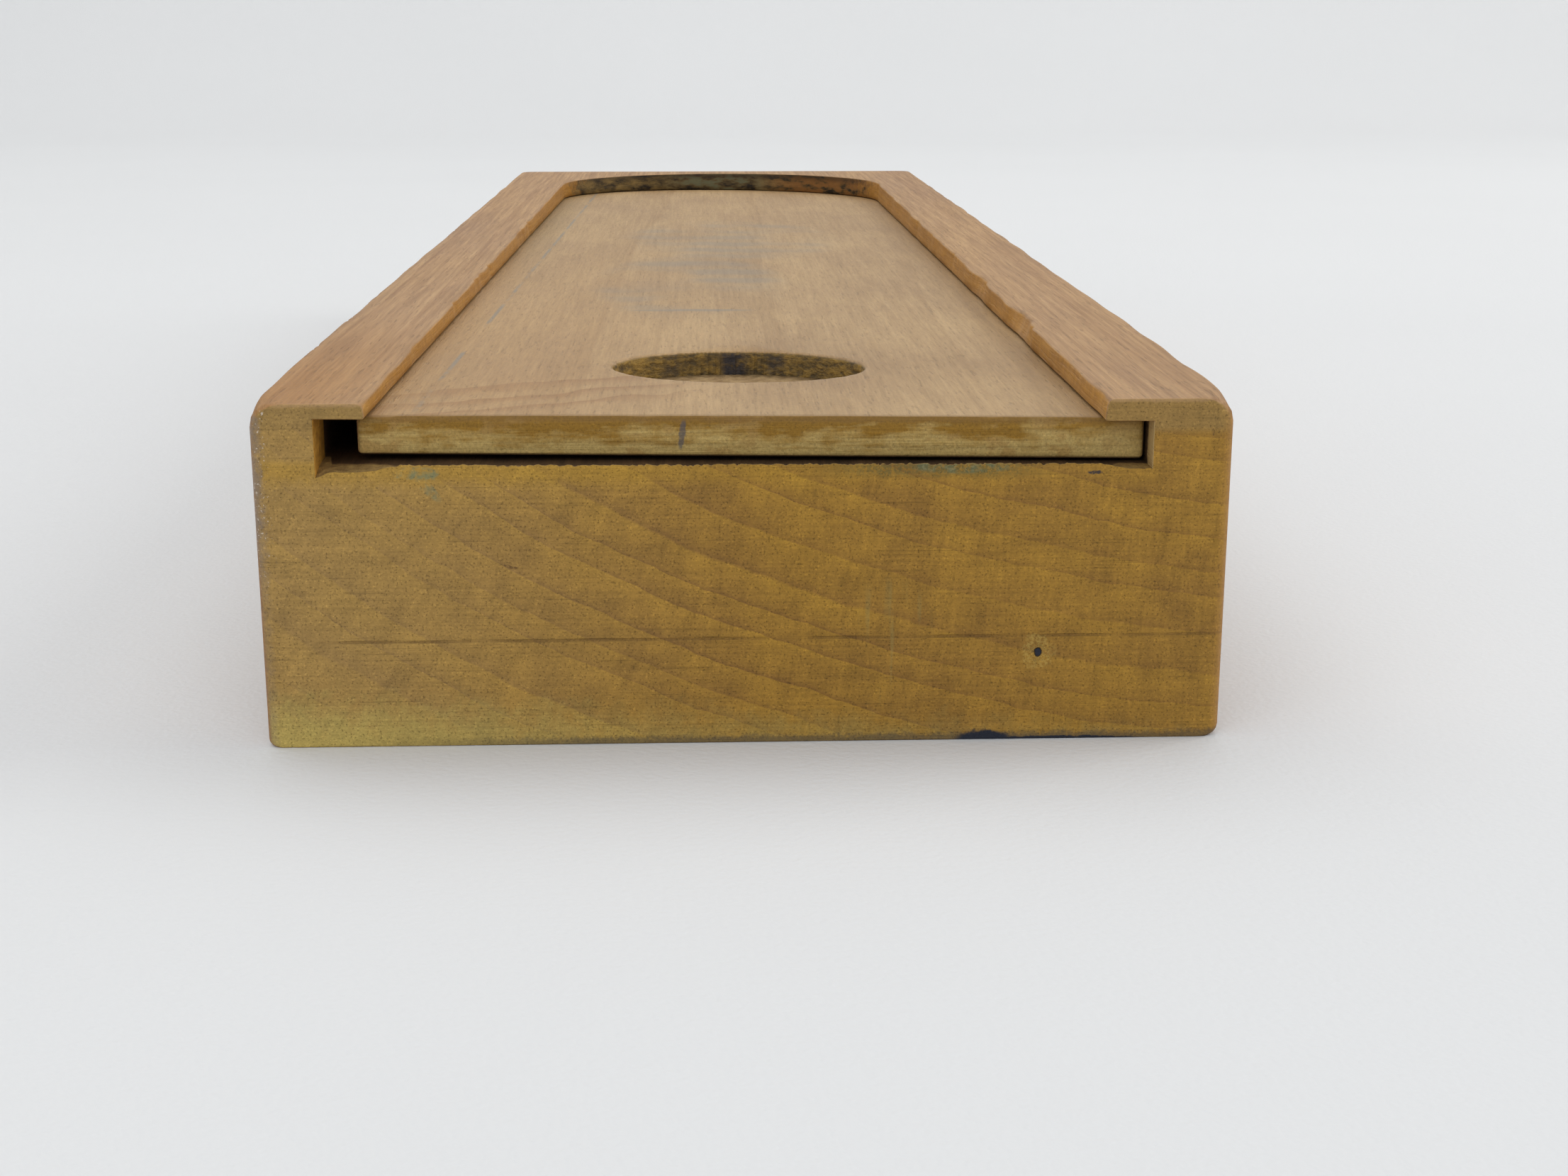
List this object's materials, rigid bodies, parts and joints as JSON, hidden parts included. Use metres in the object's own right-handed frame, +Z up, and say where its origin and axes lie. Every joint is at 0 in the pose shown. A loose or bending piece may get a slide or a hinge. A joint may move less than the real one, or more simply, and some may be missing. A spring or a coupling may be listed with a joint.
{
  "type": "sharpening stone in sliding-lid case",
  "caption": "Oilstone bedded in a one-piece hardwood case, shut by a thin wooden lid with a thumb recess that slides out of an undercut slot.",
  "frame": {"origin": "centre of the case's underside", "axes": "+X across the case, +Y along it towards the closed round end, +Z up"},
  "size_m": [0.057, 0.2, 0.0206],
  "materials": {
    "case_wood": "bare hardwood, hand-cut, oil-darkened and worn at the edges",
    "lid_wood": "bare hardwood, rubbed smooth by handling",
    "oilstone": "fine natural stone, rubbed flat, lightly oiled"
  },
  "bodies": {
    "case": {"case_body": "case_wood", "whetstone": "oilstone"},
    "lid": {"sliding_lid": "lid_wood"}
  },
  "joints": [
    {"name": "lid_slide", "type": "slide", "parent": "case", "child": "lid", "axis": [0, -1, 0.006], "range_m": [0, 0.197]}
  ]
}
